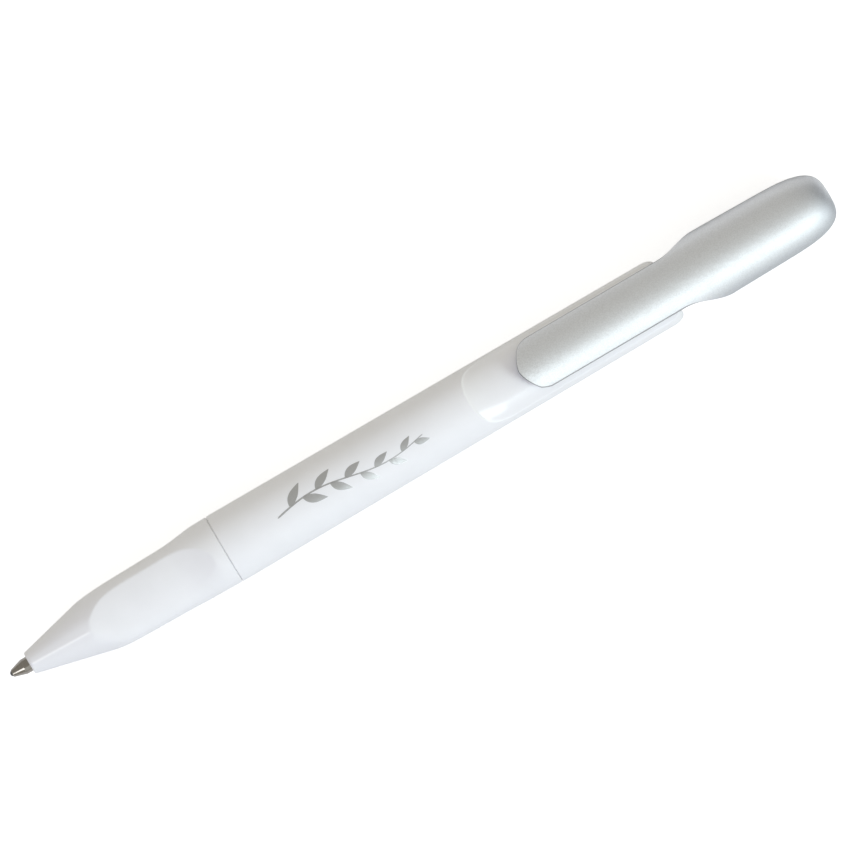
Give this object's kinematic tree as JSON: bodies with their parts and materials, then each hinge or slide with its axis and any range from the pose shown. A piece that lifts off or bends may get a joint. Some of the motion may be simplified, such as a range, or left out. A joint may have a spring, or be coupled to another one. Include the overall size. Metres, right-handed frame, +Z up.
{
  "type": "ballpoint pen",
  "caption": "Retractable push-button ballpoint pen with a tapered barrel, a grip section with flat finger pads, and a silver clip moulded with the domed button.",
  "frame": {"origin": "under the middle of the pen, on the surface that it lies on", "axes": "+X along the pen from the writing point to the button, +Z up towards the clip, +Y to the left when looking along +X"},
  "size_m": [0.141, 0.0112, 0.0119],
  "materials": {
    "white_plastic": "white moulded plastic with a soft sheen",
    "silver_plastic": "silver metallic lacquer on plastic, satin",
    "grey_plastic": "plain grey moulded plastic",
    "clear_plastic": "milky translucent plastic",
    "ink": "dark blue ink paste",
    "nickel_silver": "turned nickel silver",
    "steel": "bright steel"
  },
  "bodies": {
    "pen_body": {"grip_section": "white_plastic", "barrel": "white_plastic", "cam_sleeve": "grey_plastic", "return_spring": "steel"},
    "button": {"clip_button": "silver_plastic", "push_rod": "white_plastic"},
    "refill": {"cam_rotor": "grey_plastic", "refill_tube": "clear_plastic", "refill_plug": "white_plastic", "ink_column": "ink", "nib_holder": "white_plastic", "nib": "nickel_silver"},
    "writing_ball": {"ball": "steel"}
  },
  "joints": [
    {"name": "button_slide", "type": "slide", "parent": "pen_body", "child": "button", "axis": [1, 0, 0], "range_m": [-0.001, 0.005]},
    {"name": "refill_slide", "type": "slide", "parent": "pen_body", "child": "refill", "axis": [1, 0, 0], "range_m": [-0.001, 0.005], "deforming": ["return_spring"]},
    {"name": "ball_roll", "type": "hinge", "parent": "refill", "child": "writing_ball", "pos_m": [-0.07, 0, 0.00558], "axis": [0, 1, 0], "continuous": true}
  ],
  "couplings": [
    {"joint": "refill_slide", "follows": "button_slide", "ratio": 1}
  ]
}
